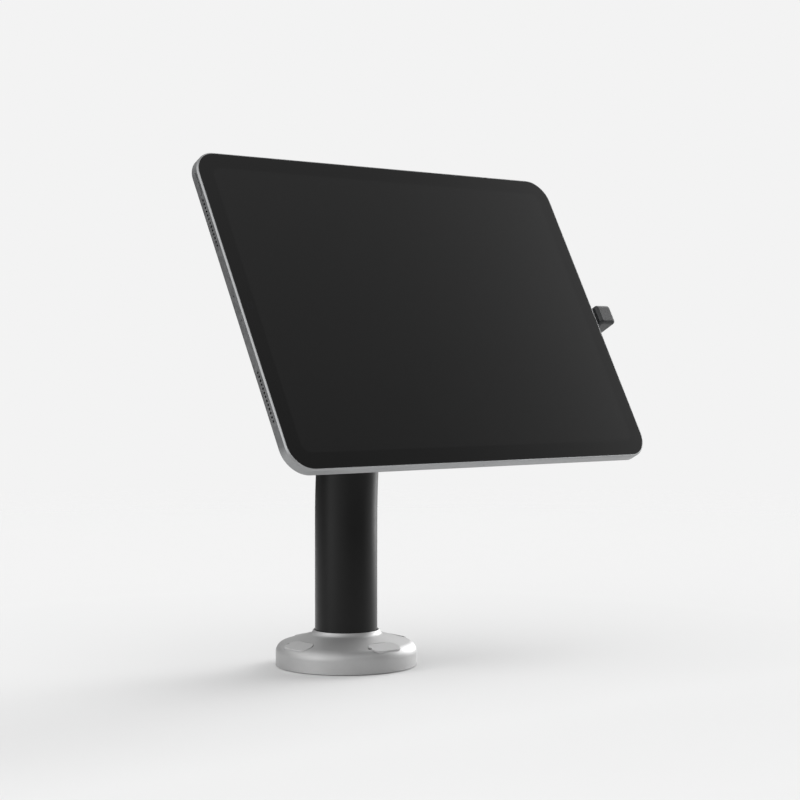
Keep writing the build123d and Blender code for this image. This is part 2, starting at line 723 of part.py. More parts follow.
# Plug housing beside the tablet, open at the back, and its cover.
with BuildPart() as plug_housing:
    with BuildSketch(HEAD.offset(-plug_front_depth)):
        with Locations((plug_middle, 0)):
            Rectangle(plug_width, 2 * plug_half_height)
    extrude(amount=plug_front_depth + plug_back - plug_cover_thickness)
    front_plane = HEAD.offset(-plug_front_depth)
    upright_edges = plug_housing.edges().filter_by(Axis(origin=(0, 0, 0), direction=facing))
    fillet(upright_edges, plug_side_round)
    plug_front = plug_housing.faces().filter_by(front_plane).sort_by_distance(front_plane.origin)[0]
    fillet(plug_front.edges(), plug_front_round)
    with BuildSketch(HEAD.offset(-plug_front_depth + plug_front_wall)):
        with Locations((plug_middle, 0)):
            RectangleRounded(plug_width - 2 * plug_wall, 2 * (plug_half_height - plug_wall),
                             plug_hollow_round)
    extrude(amount=plug_front_depth + plug_back, mode=Mode.SUBTRACT)
save(plug_housing, "plug_housing")

with BuildPart() as plug_cover:
    with BuildSketch(HEAD.offset(plug_back - plug_cover_thickness)):
        with Locations((plug_middle, 0)):
            RectangleRounded(plug_width, 2 * plug_half_height, plug_side_round)
    extrude(amount=plug_cover_thickness)
    cover_middle = HEAD.offset(plug_back).origin + Vector(plug_middle, 0, 0)
    fillet(plug_cover.faces().sort_by_distance(cover_middle)[0].edges(), plug_back_round)
save(plug_cover, "plug_cover")

with BuildPart() as plug_shell:
    with BuildSketch(WALL_SIDE.offset(plug_inner_face - plug_shell_length)):
        SlotOverall(plug_shell_width, plug_shell_height)
        SlotOverall(plug_shell_width - 2 * plug_shell_wall, plug_shell_height - 2 * plug_shell_wall,
                    mode=Mode.SUBTRACT)
    extrude(amount=plug_shell_length)
save(plug_shell, "plug_shell")

plug_board_width = 5.6
plug_board_height = 3.6
plug_board_thickness = 1.0
plug_board_inset = 1.0      # from the housing's inner wall
with BuildPart() as plug_board:
    with BuildSketch(WALL_SIDE.offset(plug_inner_face + plug_wall + plug_board_inset)):
        with Locations((0, -1.4)):
            RectangleRounded(plug_board_width, plug_board_height, 0.5)
    extrude(amount=plug_board_thickness)
save(plug_board, "plug_board")

# ------------------------------------------------------------------ tablet
speaker_pitch = 2.19
speaker_holes = 13
speaker_middle = 48.7
speaker_hole_radius = 0.65
mic_spread = 6.8
mic_hole_radius = 0.4
port_width = 8.8
port_height = 3.0
shell_back_round = 0.5
glass_pocket_gap = 0.05
glass_edge_round = 0.12
power_middle = 71.2
power_length = 12.4
volume_length = 10.6
volume_middles = {"up": -93.0, "down": -79.0}
button_width = 2.0
button_gap = 0.2
button_proud = 0.2
button_travel = 0.25
wall_cut = side_wall + past

# Milled aluminium shell with a chamfered rim.
with BuildPart() as rear_housing:
    with BuildSketch(TABLET.offset(-tablet_thickness)):
        RectangleRounded(tablet_width, tablet_height, tablet_corner)
    extrude(amount=tablet_thickness - rim_below_glass)
    back_face = rear_housing.faces().sort_by_distance(back_centre)[0]
    front_face = rear_housing.faces().sort_by_distance(screen_centre)[0]
    fillet(back_face.edges(), shell_back_round)
    chamfer(front_face.edges(), rim_chamfer_depth, rim_chamfer, reference=front_face)
    with BuildSketch(TABLET.offset(-glass_thickness)):
        RectangleRounded(tablet_width - 2 * (rim_width - glass_pocket_gap),
                         tablet_height - 2 * (rim_width - glass_pocket_gap),
                         tablet_corner - rim_width + glass_pocket_gap)
    extrude(amount=glass_thickness + past, mode=Mode.SUBTRACT)
    with BuildSketch(TABLET.offset(cavity_floor)):
        RectangleRounded(2 * inner_half_width, 2 * inner_half_height, tablet_corner - side_wall)
    extrude(amount=tablet_thickness, mode=Mode.SUBTRACT)
    for side in (-1, 1):
        with BuildSketch(WALL_SIDE.offset(side * tablet_width / 2)):
            for row in (-1, 1):
                with Locations((row * speaker_middle, 0)):
                    with GridLocations(speaker_pitch, 0, speaker_holes, 1):
                        Circle(speaker_hole_radius)
        extrude(amount=-side * wall_cut, mode=Mode.SUBTRACT)
    with BuildSketch(WALL_SIDE.offset(-tablet_width / 2)):
        with Locations((-mic_spread, 0), (mic_spread, 0)):
            Circle(mic_hole_radius)
        with Locations((power_middle, 0)):
            SlotOverall(power_length + 2 * button_gap, button_width + 2 * button_gap)
    extrude(amount=wall_cut, mode=Mode.SUBTRACT)
    with BuildSketch(WALL_SIDE.offset(tablet_width / 2)):
        SlotOverall(port_width, port_height)
    extrude(amount=-wall_cut, mode=Mode.SUBTRACT)
    with BuildSketch(WALL_TOP.offset(-tablet_height / 2)):
        Circle(mic_hole_radius)
    extrude(amount=wall_cut, mode=Mode.SUBTRACT)
    with BuildSketch(WALL_TOP.offset(tablet_height / 2)):
        with Locations(*[(middle, 0) for middle in volume_middles.values()]):
            SlotOverall(volume_length + 2 * button_gap, button_width + 2 * button_gap)
    extrude(amount=-wall_cut, mode=Mode.SUBTRACT)
save(rear_housing, "rear_housing")

with BuildPart() as display_glass:
    with BuildSketch(TABLET.offset(-glass_thickness)):
        RectangleRounded(tablet_width - 2 * rim_width, tablet_height - 2 * rim_width,
                         tablet_corner - rim_width)
    extrude(amount=glass_thickness)
    fillet(display_glass.faces().sort_by_distance(screen_centre)[0].edges(), glass_edge_round)
save(display_glass, "display_glass")

panel_width = 231.0
panel_height = 162.0
panel_corner = 6.0
panel_thickness = 1.3
with BuildPart() as display_panel:
    with BuildSketch(TABLET.offset(-glass_thickness)):
        RectangleRounded(panel_width, panel_height, panel_corner)
    extrude(amount=-panel_thickness)
save(display_panel, "display_panel")

# Camera behind the glass, in the border on the port's far side.
front_camera_place = (-118.6, 0)
front_camera_radius = 2.2
front_camera_depth = 1.6
with BuildPart() as front_camera:
    with BuildSketch(TABLET.offset(-glass_thickness)):
        with Locations(front_camera_place):
            Circle(front_camera_radius)
    extrude(amount=-front_camera_depth)
save(front_camera, "front_camera")

# Inside: a battery cell each side of the logic board, and a speaker behind each row of holes.
floor_gap = 0.1
module_height = 2.4
battery_width = 84.0
battery_height = 128.0
battery_pitch = 136.0
with BuildPart() as battery_cells:
    with BuildSketch(TABLET.offset(cavity_floor + floor_gap)):
        with GridLocations(battery_pitch, 0, 2, 1):
            RectangleRounded(battery_width, battery_height, 2)
    extrude(amount=module_height)
save(battery_cells, "battery_cells")

logic_board_width = 44.0
logic_board_height = 150.0
logic_board_thickness = 0.8
with BuildPart() as logic_board:
    with BuildSketch(TABLET.offset(cavity_floor + floor_gap)):
        RectangleRounded(logic_board_width, logic_board_height, 2)
    extrude(amount=logic_board_thickness)
save(logic_board, "logic_board")

shield_width = 36.0
shield_height = 1.4
shields = {42: 42, -8: 42, -52: 30}     # middle up the board: length
with BuildPart() as shield_cans:
    with BuildSketch(TABLET.offset(cavity_floor + floor_gap + logic_board_thickness)):
        for middle, length in shields.items():
            with Locations((0, middle)):
                RectangleRounded(shield_width, length, 1.5)
    extrude(amount=shield_height)
save(shield_cans, "shield_cans")

speaker_inset = 4.2
speaker_width = 8.0
speaker_length = 30.0
with BuildPart() as speaker_modules:
    with BuildSketch(TABLET.offset(cavity_floor + floor_gap)):
        with GridLocations(2 * (inner_half_width - speaker_inset), 2 * speaker_middle, 2, 2):
            RectangleRounded(speaker_width, speaker_length, 1.5)
    extrude(amount=module_height)
save(speaker_modules, "speaker_modules")

# Socket for the plug, with a tongue that stops short of its mouth.
port_depth = 6.1
port_wall = 0.35
port_mouth = 8.7
port_mouth_height = 2.9
port_back_wall = 0.8
tongue_width = 6.2
tongue_thickness = 0.6
tongue_recess = 1.0
port_back = inner_half_width - port_depth
with BuildPart() as port_receptacle:
    with BuildSketch(WALL_SIDE.offset(port_back)):
        SlotOverall(port_mouth + 2 * port_wall, port_mouth_height + 2 * port_wall)
    extrude(amount=port_depth - face_gap)
    with BuildSketch(WALL_SIDE.offset(port_back + port_back_wall)):
        SlotOverall(port_mouth, port_mouth_height)
        Rectangle(tongue_width, tongue_thickness, mode=Mode.SUBTRACT)
    extrude(amount=port_depth, mode=Mode.SUBTRACT)
    with BuildSketch(WALL_SIDE.offset(inner_half_width - tongue_recess)):
        Rectangle(tongue_width + past, tongue_thickness + past / 2)
    extrude(amount=tongue_recess + past, mode=Mode.SUBTRACT)
save(port_receptacle, "port_receptacle")

# Camera on the back, in the corner beside the buttons.
camera_place = (-104.0, -70.0)
camera_width = 26.0
camera_height = 17.0
camera_corner = 8.0
camera_proud = 1.6
camera_edge_round = 0.5
lens_offset = -4.5
lens_radius = 5.05
lens_recess = 0.3
flash_offset = 7.0
flash_radius = 2.05
flash_recess = 0.2
lens_place = (camera_place[0] + lens_offset, camera_place[1])
flash_place = (camera_place[0] + flash_offset, camera_place[1])
with BuildPart() as camera_island:
    with BuildSketch(HEAD):
        with Locations(camera_place):
            RectangleRounded(camera_width, camera_height, camera_corner)
        with Locations(lens_place):
            Circle(lens_radius + seat_gap, mode=Mode.SUBTRACT)
        with Locations(flash_place):
            Circle(flash_radius + seat_gap, mode=Mode.SUBTRACT)
    extrude(amount=camera_proud)
    backward = Axis(origin=back_centre, direction=-facing)
    camera_face = camera_island.faces().filter_by(HEAD).sort_by(backward)[-1]
    fillet(camera_face.outer_wire().edges(), camera_edge_round)
save(camera_island, "camera_island")

with BuildPart() as camera_lens:
    with BuildSketch(HEAD):
        with Locations(lens_place):
            Circle(lens_radius)
    extrude(amount=camera_proud - lens_recess)
save(camera_lens, "camera_lens")

with BuildPart() as flash_lens:
    with BuildSketch(HEAD):
        with Locations(flash_place):
            Circle(flash_radius)
    extrude(amount=camera_proud - flash_recess)
save(flash_lens, "flash_lens")


foot_gap = 0.1
foot_thickness = 0.5
foot_margin = 1.4


def push_button(plane, place, length, outer, inner):
    """Button whose head passes through the wall and whose foot keeps it in."""
    inward = -1 if outer > 0 else 1
    with BuildPart() as button:
        with BuildSketch(plane.offset(outer)):
            with Locations((place, 0)):
                SlotOverall(length, button_width)
        extrude(amount=inward * (abs(outer) - abs(inner) + foot_gap))
        with BuildSketch(plane.offset(inner + inward * foot_gap)):
            with Locations((place, 0)):
                SlotOverall(length - foot_thickness * 2, button_width + foot_margin)
        extrude(amount=inward * foot_thickness)
    return button


power_button = push_button(WALL_SIDE, power_middle, power_length,
                           -tablet_width / 2 - button_proud, -inner_half_width)
save(power_button, "power_button")
for name, middle in volume_middles.items():
    volume_button = push_button(WALL_TOP, middle, volume_length,
                                tablet_height / 2 + button_proud, inner_half_height)
    save(volume_button, f"volume_{name}_button")

# Dome switches behind the buttons.
switch_gap = foot_gap + foot_thickness + button_travel + 0.1
switch_length = 6.0
switch_width = 2.2
switch_height = 0.8
with BuildPart() as button_switches:
    with BuildSketch(WALL_SIDE.offset(-inner_half_width + switch_gap)):
        with Locations((power_middle, 0)):
            Rectangle(switch_length, switch_width)
    extrude(amount=switch_height)
    with BuildSketch(WALL_TOP.offset(inner_half_height - switch_gap)):
        with Locations(*[(middle, 0) for middle in volume_middles.values()]):
            Rectangle(switch_length, switch_width)
    extrude(amount=-switch_height)
save(button_switches, "button_switches")
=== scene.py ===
import json
import math

import bmesh
import bpy
from mathutils import Matrix, Vector


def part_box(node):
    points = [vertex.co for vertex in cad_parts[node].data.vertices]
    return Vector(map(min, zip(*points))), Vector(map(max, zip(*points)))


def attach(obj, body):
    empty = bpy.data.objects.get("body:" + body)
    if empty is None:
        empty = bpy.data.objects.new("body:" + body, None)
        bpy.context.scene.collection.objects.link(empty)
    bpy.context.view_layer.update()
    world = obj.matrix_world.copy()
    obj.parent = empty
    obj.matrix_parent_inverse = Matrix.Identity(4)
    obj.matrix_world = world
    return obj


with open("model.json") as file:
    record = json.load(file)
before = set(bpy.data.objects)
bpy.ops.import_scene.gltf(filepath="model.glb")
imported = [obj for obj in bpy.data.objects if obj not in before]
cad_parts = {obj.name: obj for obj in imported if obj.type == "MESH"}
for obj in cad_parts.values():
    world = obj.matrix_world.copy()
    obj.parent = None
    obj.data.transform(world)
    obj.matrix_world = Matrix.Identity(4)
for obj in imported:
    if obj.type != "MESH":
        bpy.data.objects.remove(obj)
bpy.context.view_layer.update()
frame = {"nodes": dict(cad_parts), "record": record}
nodes = frame["nodes"]


# ---------------------------------------------------------------- places on the tablet
# The tablet leans back 28.28 degrees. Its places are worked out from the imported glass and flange.
TABLET_RIGHT = Vector((1.0, 0.0, 0.0))
TABLET_UP = Vector((0.0, 0.4738, 0.8806)).normalized()
TABLET_OUT = TABLET_RIGHT.cross(TABLET_UP)
GLASS_THICKNESS = 0.001
TABLET_THICKNESS = 0.0059
glass_low, glass_high = (Vector(corner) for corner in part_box("display_glass"))
SCREEN_CENTRE = (glass_low + glass_high) / 2 + TABLET_OUT * GLASS_THICKNESS / 2
MIDDLE = SCREEN_CENTRE - TABLET_OUT * TABLET_THICKNESS / 2
BACK_CENTRE = SCREEN_CENTRE - TABLET_OUT * TABLET_THICKNESS
flange = nodes["neck_flange"]
FLANGE_BACK = max(-TABLET_OUT.dot(flange.matrix_world @ v.co - BACK_CENTRE) for v in flange.data.vertices)

# Places in the screen's plane, right of and up from its centre.
ACTIVE_HALF = (0.1149, 0.08025)
ACTIVE_CORNER = 0.0052
ACTIVE_EDGE = 0.0002
FRONT_CAMERA = (-0.1186, 0.0)
FRONT_CAMERA_RING = 0.0017
BACK_CAMERA = (-0.1085, 0.070)
LENS_RADIUS = 0.00505


# ---------------------------------------------------------------- node helpers
class Graph:
    """Short names for the few shader nodes that the materials share."""

    def __init__(self, tree):
        self.tree = tree

    def node(self, kind, **settings):
        made = self.tree.nodes.new(kind)
        for name, value in settings.items():
            setattr(made, name, value)
        return made

    def plug(self, value, socket):
        """Feed a socket with another socket, or set it to a constant."""
        if isinstance(value, bpy.types.NodeSocket):
            self.tree.links.new(value, socket)
        else:
            socket.default_value = value

    def math(self, operation, a, b=0.0):
        made = self.node("ShaderNodeMath", operation=operation)
        self.plug(a, made.inputs[0])
        self.plug(b, made.inputs[1])
        return made.outputs[0]

    def vector(self, operation, a, b=(0.0, 0.0, 0.0)):
        made = self.node("ShaderNodeVectorMath", operation=operation)
        self.plug(a, made.inputs[0])
        self.plug(b, made.inputs[1])
        return made.outputs["Value" if operation == "DOT_PRODUCT" else "Vector"]

    def place(self):
        """Position in the object's own space, which is the row frame at rest."""
        return self.node("ShaderNodeTexCoord").outputs["Object"]

    def noise(self, scale, detail=3.0, roughness=0.55):
        made = self.node("ShaderNodeTexNoise")
        made.inputs["Scale"].default_value = scale
        made.inputs["Detail"].default_value = detail
        made.inputs["Roughness"].default_value = roughness
        self.plug(self.place(), made.inputs["Vector"])
        return made.outputs["Fac"]

    def spread(self, value, low, high, from_low=0.3, from_high=0.7):
        """Map a value from one range to another; the one it comes from suits a noise."""
        made = self.node("ShaderNodeMapRange")
        self.plug(value, made.inputs["Value"])
        made.inputs["From Min"].default_value = from_low
        made.inputs["From Max"].default_value = from_high
        made.inputs["To Min"].default_value = low
        made.inputs["To Max"].default_value = high
        return made.outputs["Result"]

    def blend(self, factor, first, second):
        """Mix two colours."""
        made = self.node("ShaderNodeMix", data_type="RGBA")
        self.plug(factor, made.inputs["Factor"])
        self.plug(first, made.inputs["A"])
        self.plug(second, made.inputs["B"])
        return made.outputs["Result"]

    def bump(self, height, strength, distance):
        made = self.node("ShaderNodeBump")
        made.inputs["Strength"].default_value = strength
        made.inputs["Distance"].default_value = distance
        self.plug(height, made.inputs["Height"])
        return made.outputs["Normal"]


def grey(level, tint=0.0):
    """Colour of a grey level, a little bluer for a positive tint."""
    return (level * (1 - tint), level, level * (1 + tint), 1.0)


# ---------------------------------------------------------------- camera
# Fitted by a scratch script to the edges of the glass in the photograph, for a tablet about 1 mm
# smaller each way than the one in the frame.
CAMERA_PLACE = (-0.6508, -0.8103, 0.1681)
CAMERA_FORWARD = Vector((0.6485, 0.7610, -0.0189))
SENSOR_WIDTH = 36.0
FOCAL_LENGTH = 83.47
NEAR_CLIP = 0.01


def make_camera():
    camera = bpy.data.objects.new("camera", bpy.data.cameras.new("camera"))
    bpy.context.scene.collection.objects.link(camera)
    camera.data.sensor_width = SENSOR_WIDTH
    camera.data.lens = FOCAL_LENGTH
    camera.data.clip_start = NEAR_CLIP
    camera.location = CAMERA_PLACE
    camera.rotation_euler = CAMERA_FORWARD.to_track_quat("-Z", "Y").to_euler()
    bpy.context.scene.camera = camera


# ---------------------------------------------------------------- light
BACKDROP = 0.8963
FLOOR_GREY = 0.8
FLOOR_RADIUS = 6.0
FLOOR_FADE = (0.35, 1.5)

# These rows came from a scratch script's least-squares fit to the photograph's tones. They were
# rounded, and the last two were adjusted. They aren't the studio's real lights.
LIGHTS = (
    # azimuth and elevation in degrees, radiance, tightness
    (0, 12, 4.4, 14),
    (-150, 12, 0.9, 14),
    (30, 40, 2.05, 14),
    (90, 40, 1.1, 14),
    (150, 40, 2.65, 14),
    (-150, 40, 1.4, 14),
    (-90, 40, 1.15, 14),
    (-105, 66, 1.1, 14),
    (-45, 66, 0.7, 14),
    (-41, 6, 1.1, 50),
    (10, 6, 4.6, 50),
    (-5, 24, 6.9, 50),
    (15, 24, 6.7, 50),
    (168, 12, 5.0, 50),
    (-174, 12, 3.2, 50),
)


def aim(azimuth, elevation):
    """Unit vector towards a light; azimuth is counted from +X towards +Y."""
    around, above = math.radians(azimuth), math.radians(elevation)
    return (math.cos(above) * math.cos(around), math.cos(above) * math.sin(around), math.sin(above))


def make_world():
    """Studio of broad soft lights, with the plain backdrop for what the camera sees."""
    world = bpy.data.worlds.new("studio")
    world.use_nodes = True
    bpy.context.scene.world = world
    world.node_tree.nodes.clear()
    g = Graph(world.node_tree)
    direction = g.vector("NORMALIZE", g.node("ShaderNodeTexCoord").outputs["Generated"])
    light = 0.0
    for azimuth, elevation, radiance, tightness in LIGHTS:
        cosine = g.vector("DOT_PRODUCT", direction, aim(azimuth, elevation))
        fall = g.math("EXPONENT", g.math("MULTIPLY", g.math("SUBTRACT", cosine, 1.0), tightness))
        light = g.math("ADD", g.math("MULTIPLY", fall, radiance), light)
    studio = g.node("ShaderNodeBackground")
    g.plug(light, studio.inputs["Strength"])
    backdrop = g.node("ShaderNodeBackground")
    backdrop.inputs["Color"].default_value = grey(BACKDROP)
    choose = g.node("ShaderNodeMixShader")
    g.plug(g.node("ShaderNodeLightPath").outputs["Is Camera Ray"], choose.inputs[0])
    g.plug(studio.outputs[0], choose.inputs[1])
    g.plug(backdrop.outputs[0], choose.inputs[2])
    g.plug(choose.outputs[0], g.node("ShaderNodeOutputWorld").inputs["Surface"])


def make_floor():
    """Pale floor that fades into the backdrop well away from the object."""
    bpy.ops.mesh.primitive_circle_add(vertices=96, radius=FLOOR_RADIUS, fill_type="NGON")
    floor = bpy.context.object
    floor.name = "floor"
    material = bpy.data.materials.new("floor")
    material.use_nodes = True
    material.node_tree.nodes.clear()
    g = Graph(material.node_tree)
    paint = g.node("ShaderNodeBsdfDiffuse")
    paint.inputs["Color"].default_value = grey(FLOOR_GREY)
    clear = g.node("ShaderNodeBsdfTransparent")
    distance = g.node("ShaderNodeVectorMath", operation="LENGTH")
    g.plug(g.place(), distance.inputs[0])
    fade = g.spread(distance.outputs["Value"], 0.0, 1.0, *FLOOR_FADE)
    mix = g.node("ShaderNodeMixShader")
    g.plug(fade, mix.inputs[0])
    g.plug(paint.outputs[0], mix.inputs[1])
    g.plug(clear.outputs[0], mix.inputs[2])
    g.plug(mix.outputs[0], g.node("ShaderNodeOutputMaterial").inputs["Surface"])
    floor.data.materials.append(material)


# ---------------------------------------------------------------- materials
def shader(name):
    """New material with one Principled shader; returns the material, its graph and the shader."""
    material = bpy.data.materials.new(name)
    material.use_nodes = True
    material.node_tree.nodes.clear()
    g = Graph(material.node_tree)
    bsdf = g.node("ShaderNodeBsdfPrincipled")
    g.plug(bsdf.outputs[0], g.node("ShaderNodeOutputMaterial").inputs["Surface"])
    return material, g, bsdf


def powder_coat(name, dark, light, rough_low, rough_high, grain=2200.0, depth=0.00003, gloss=0.5):
    """Paint with a fine orange-peel surface and slow changes of tone."""
    material, g, bsdf = shader(name)
    peel = g.noise(grain, 2.0)
    cloud = g.noise(35.0, 3.0)
    g.plug(g.blend(g.spread(cloud, 0.0, 1.0), grey(dark), grey(light)), bsdf.inputs["Base Color"])
    g.plug(g.spread(g.noise(240.0), rough_low, rough_high), bsdf.inputs["Roughness"])
    g.plug(g.bump(peel, 0.35, depth), bsdf.inputs["Normal"])
    bsdf.inputs["Specular IOR Level"].default_value = gloss
    return material


def metallic_paint(name, dark, light, rough_low, rough_high):
    """Satin silver paint: fine metal flakes under a smooth, faintly rippled film."""
    material, g, bsdf = shader(name)
    bsdf.inputs["Metallic"].default_value = 0.7
    flakes = g.noise(7000.0, 2.0)
    cloud = g.noise(30.0, 3.0)
    tone = g.math("ADD", g.math("MULTIPLY", flakes, 0.4), g.math("MULTIPLY", cloud, 0.6))
    g.plug(g.blend(g.spread(tone, 0.0, 1.0), grey(dark), grey(light)), bsdf.inputs["Base Color"])
    g.plug(g.spread(g.noise(260.0), rough_low, rough_high), bsdf.inputs["Roughness"])
    g.plug(g.bump(g.noise(1800.0, 2.0), 0.2, 0.00002), bsdf.inputs["Normal"])
    return material


def anodised(name, dark, light, rough_low, rough_high):
    """Bead-blasted, anodised aluminium."""
    material, g, bsdf = shader(name)
    bsdf.inputs["Metallic"].default_value = 1.0
    fine = g.noise(9000.0, 2.0)
    cloud = g.noise(28.0, 2.0)
    tone = g.math("ADD", g.math("MULTIPLY", fine, 0.5), g.math("MULTIPLY", cloud, 0.5))
    g.plug(g.blend(g.spread(tone, 0.0, 1.0), grey(dark, 0.01), grey(light, 0.015)),
           bsdf.inputs["Base Color"])
    g.plug(g.spread(g.noise(400.0), rough_low, rough_high), bsdf.inputs["Roughness"])
    g.plug(g.bump(fine, 0.25, 0.00001), bsdf.inputs["Normal"])
    return material


def turned_metal(name, dark, light, rough_low, rough_high):
    """Machined or plated steel with fine tool marks."""
    material, g, bsdf = shader(name)
    bsdf.inputs["Metallic"].default_value = 1.0
    marks = g.node("ShaderNodeTexWave", wave_type="RINGS", rings_direction="Z")
    marks.inputs["Scale"].default_value = 900.0
    marks.inputs["Distortion"].default_value = 1.5
    g.plug(g.place(), marks.inputs["Vector"])
    cloud = g.noise(120.0, 4.0)
    g.plug(g.blend(g.spread(cloud, 0.0, 1.0), grey(dark), grey(light)), bsdf.inputs["Base Color"])
    g.plug(g.spread(cloud, rough_low, rough_high), bsdf.inputs["Roughness"])
    g.plug(g.bump(marks.outputs["Fac"], 0.15, 0.00001), bsdf.inputs["Normal"])
    return material


def plastic(name, dark, light, rough_low, rough_high, grain=3000.0, strength=0.3, tint=0.0):
    """Moulded plastic with a spark-eroded texture."""
    material, g, bsdf = shader(name)
    texture = g.noise(grain, 3.0, 0.65)
    cloud = g.noise(60.0, 2.0)
    g.plug(g.blend(g.spread(cloud, 0.0, 1.0), grey(dark, tint), grey(light, tint)),
           bsdf.inputs["Base Color"])
    g.plug(g.spread(texture, rough_low, rough_high), bsdf.inputs["Roughness"])
    g.plug(g.bump(texture, strength, 0.00002), bsdf.inputs["Normal"])
    return material


def coloured(name, dark, light, rough_low, rough_high, grain=1500.0):
    """Plain material of two close colours, for internal pieces."""
    material, g, bsdf = shader(name)
    texture = g.noise(grain, 3.0)
    g.plug(g.blend(g.spread(texture, 0.0, 1.0), (*dark, 1.0), (*light, 1.0)), bsdf.inputs["Base Color"])
    g.plug(g.spread(texture, rough_low, rough_high), bsdf.inputs["Roughness"])
    g.plug(g.bump(texture, 0.2, 0.00002), bsdf.inputs["Normal"])
    return material


def screen_plane(g):
    """Distances right of and up from the screen's centre."""
    offset = g.vector("SUBTRACT", g.place(), tuple(SCREEN_CENTRE))
    return (g.vector("DOT_PRODUCT", offset, tuple(TABLET_RIGHT)),
            g.vector("DOT_PRODUCT", offset, tuple(TABLET_UP)))


def distance_from(g, across, up, centre):
    """Distance in the screen's plane from a point on it."""
    dx = g.math("SUBTRACT", across, centre[0])
    dy = g.math("SUBTRACT", up, centre[1])
    return g.math("SQRT", g.math("ADD", g.math("MULTIPLY", dx, dx), g.math("MULTIPLY", dy, dy)))


def outside_active(g, across, up):
    """Signed distance from the rounded edge of the display's active area."""
    qx = g.math("SUBTRACT", g.math("ABSOLUTE", across), ACTIVE_HALF[0] - ACTIVE_CORNER)
    qy = g.math("SUBTRACT", g.math("ABSOLUTE", up), ACTIVE_HALF[1] - ACTIVE_CORNER)
    px = g.math("MAXIMUM", qx, 0.0)
    py = g.math("MAXIMUM", qy, 0.0)
    corner = g.math("SQRT", g.math("ADD", g.math("MULTIPLY", px, px), g.math("MULTIPLY", py, py)))
    edge = g.math("MINIMUM", g.math("MAXIMUM", qx, qy), 0.0)
    return g.math("SUBTRACT", g.math("ADD", corner, edge), ACTIVE_CORNER)


BORDER_TONE = grey(0.0012)
ACTIVE_TONE = grey(0.0052)
CAMERA_RING_TONE = (0.004, 0.0042, 0.006, 1.0)
RING_FADE = (0.0001, 0.0004)


def screen_glass(name):
    """Black cover glass: the active area a shade lighter than its border, and a camera in that."""
    material, g, bsdf = shader(name)
    across, up = screen_plane(g)
    inside = g.spread(outside_active(g, across, up), 1.0, 0.0, -ACTIVE_EDGE, ACTIVE_EDGE)
    colour = g.blend(inside, BORDER_TONE, ACTIVE_TONE)
    from_camera = distance_from(g, across, up, FRONT_CAMERA)
    off_ring = g.math("ABSOLUTE", g.math("SUBTRACT", from_camera, FRONT_CAMERA_RING))
    colour = g.blend(g.spread(off_ring, 1.0, 0.0, *RING_FADE), colour, CAMERA_RING_TONE)
    g.plug(colour, bsdf.inputs["Base Color"])
    smear = g.noise(22.0, 6.0, 0.62)
    wipe = g.noise(260.0, 3.0, 0.6)
    roughness = g.math("ADD", g.spread(smear, 0.035, 0.075), g.spread(wipe, 0.0, 0.02))
    g.plug(roughness, bsdf.inputs["Roughness"])
    bsdf.inputs["IOR"].default_value = 1.5
    return material


# Share of the lens's radius, and the colour there; the last colour runs on to the rim.
LENS_RINGS = (
    (0.0, (0.002, 0.003, 0.008, 1)),
    (0.34, (0.02, 0.02, 0.022, 1)),
    (0.40, grey(0.003)),
    (0.66, grey(0.004)),
    (0.70, grey(0.03)),
    (0.74, grey(0.006)),
    (0.93, grey(0.008)),
    (0.97, grey(0.10)),
)


def lens_glass(name):
    """Camera glass with the rings of a lens under it."""
    material, g, bsdf = shader(name)
    across, up = screen_plane(g)
    ramp = g.node("ShaderNodeValToRGB")
    ramp.color_ramp.interpolation = "LINEAR"
    for share, colour in LENS_RINGS[1:]:
        ramp.color_ramp.elements.new(share).color = colour
    ramp.color_ramp.elements[0].color = LENS_RINGS[0][1]
    ramp.color_ramp.elements[-1].color = LENS_RINGS[-1][1]
    radius = distance_from(g, across, up, BACK_CAMERA)
    g.plug(g.spread(radius, 0.0, 1.0, 0.0, LENS_RADIUS), ramp.inputs["Fac"])
    g.plug(ramp.outputs["Color"], bsdf.inputs["Base Color"])
    g.plug(g.spread(g.noise(900.0, 4.0), 0.02, 0.06), bsdf.inputs["Roughness"])
    bsdf.inputs["IOR"].default_value = 1.6
    return material


